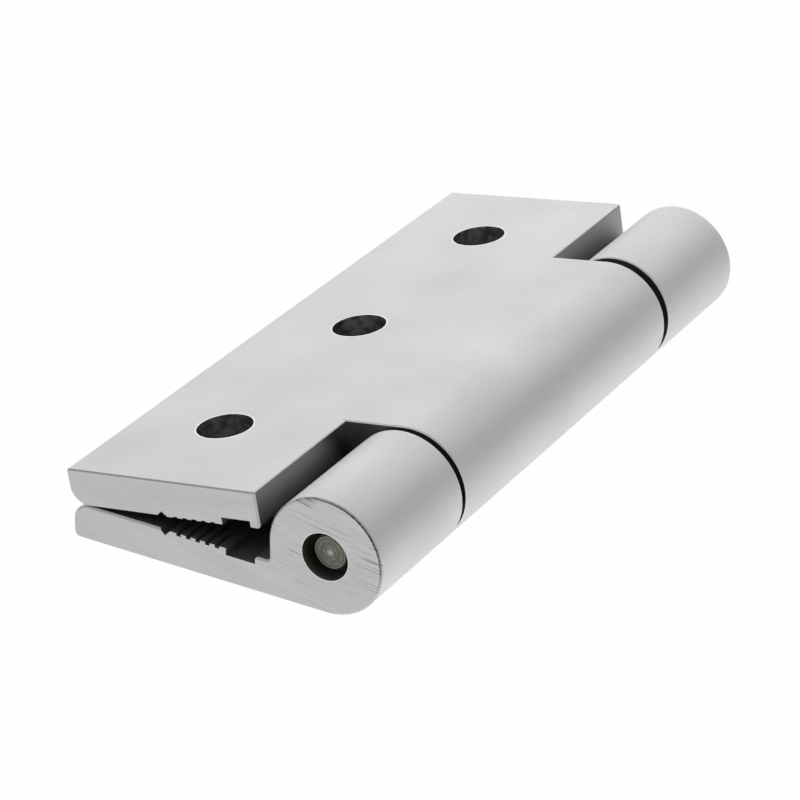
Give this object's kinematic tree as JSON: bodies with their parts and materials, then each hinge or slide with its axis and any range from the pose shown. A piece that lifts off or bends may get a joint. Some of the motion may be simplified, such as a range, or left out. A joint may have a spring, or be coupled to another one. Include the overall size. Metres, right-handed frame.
{
  "type": "safety guard hinge",
  "caption": "Butt hinge for machine guards: thick extruded aluminium leaves with plain screw holes, and a round barrel whose steel pin turns in flanged plastic bushes.",
  "frame": {"origin": "centre of the fixed leaf's middle screw hole, on the leaf's outer face", "axes": "+Y along the hinge axis from the near end to the far end, +X from the screw holes to the barrel, +Z out of the fixed leaf's inner face, towards the moving leaf"},
  "size_m": [0.0551, 0.1188, 0.0192],
  "materials": {
    "anodised_aluminium": "satin natural anodised, sawn ends bare",
    "pin_steel": "turned",
    "black_plastic": "moulded, matte"
  },
  "bodies": {
    "fixed": {"fixed_leaf": "anodised_aluminium", "bush_near": "black_plastic", "bush_far": "black_plastic"},
    "moving": {"moving_leaf": "anodised_aluminium", "hinge_pin": "pin_steel"}
  },
  "joints": [
    {"name": "leaf_swing", "type": "hinge", "parent": "fixed", "child": "moving", "pos_m": [0.0283, 0, 0.0096], "axis": [0, 1, 0], "range_deg": [0, 280]}
  ]
}
